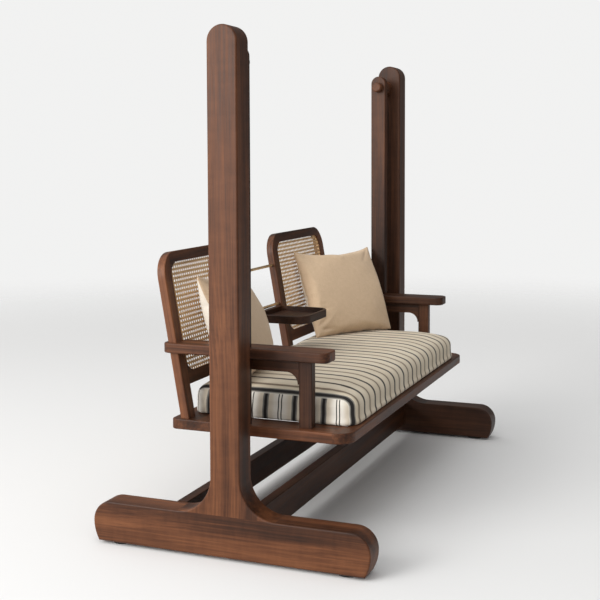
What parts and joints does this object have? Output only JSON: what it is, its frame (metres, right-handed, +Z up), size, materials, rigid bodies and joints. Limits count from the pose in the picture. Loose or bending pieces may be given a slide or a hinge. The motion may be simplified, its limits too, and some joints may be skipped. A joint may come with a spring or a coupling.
{
  "type": "bench swing",
  "caption": "Free-standing two-seat bench swing: wooden posts on long feet, a seat hung on wooden arms, caned backs, a tray between them, a striped cushion and loose pillows.",
  "frame": {"origin": "middle of the floor area that the swing covers, on the floor", "axes": "+X along the seat towards the right end as seen from the front, -Y to the front where the sitter's legs hang, +Z up"},
  "size_m": [1.97, 1.03, 1.8],
  "materials": {
    "walnut": "oiled dark brown wood, satin",
    "cane": "woven natural cane, satin",
    "brass": "aged satin brass",
    "steel": "plated steel",
    "rubber": "black rubber",
    "striped_cotton": "woven cotton with thin dark and taupe stripes",
    "linen": "plain tan linen"
  },
  "bodies": {
    "stand": {"axle_nuts": "steel", "foot_pad_screws": "steel", "foot_pads": "rubber", "front_stretcher": "walnut", "left_foot": "walnut", "left_post": "walnut", "left_post_brackets": "walnut", "pivot_axles": "steel", "pivot_hubs": "walnut", "post_bolt_inserts": "brass", "post_bolts": "steel", "rear_stretcher": "walnut", "right_foot": "walnut", "right_post": "walnut", "right_post_brackets": "walnut", "thrust_washers": "brass"},
    "seat": {"arm_post_dowels": "walnut", "back_dowels": "walnut", "bolt_plugs": "walnut", "front_platform_rail": "walnut", "hanger_bolts": "steel", "left_arm_post": "walnut", "left_armrest": "walnut", "left_armrest_apron": "walnut", "left_back_bottom_rail": "walnut", "left_back_inner_stile": "walnut", "left_back_outer_stile": "walnut", "left_back_top_rail": "walnut", "left_cane_bead": "cane", "left_cane_panel": "cane", "left_hanger_arm": "walnut", "left_pillow": "linen", "left_pivot_knob": "walnut", "left_platform_end_rail": "walnut", "lower_brass_rod": "brass", "pivot_bushes": "brass", "rear_platform_rail": "walnut", "right_arm_post": "walnut", "right_armrest": "walnut", "right_armrest_apron": "walnut", "right_back_bottom_rail": "walnut", "right_back_inner_stile": "walnut", "right_back_outer_stile": "walnut", "right_back_top_rail": "walnut", "right_cane_bead": "cane", "right_cane_panel": "cane", "right_hanger_arm": "walnut", "right_pillow": "linen", "right_pivot_knob": "walnut", "right_platform_end_rail": "walnut", "seat_cushion": "striped_cotton", "seat_slats": "walnut", "slat_screws": "steel", "tray_base": "walnut", "tray_bearer": "walnut", "tray_rim": "walnut", "tray_screws": "steel", "upper_brass_rod": "brass"}
  },
  "joints": [
    {"name": "seat_swing", "type": "hinge", "parent": "stand", "child": "seat", "pos_m": [0, 0.022, 1.6925], "axis": [1, 0, 0], "range_deg": [-25, 25]}
  ]
}
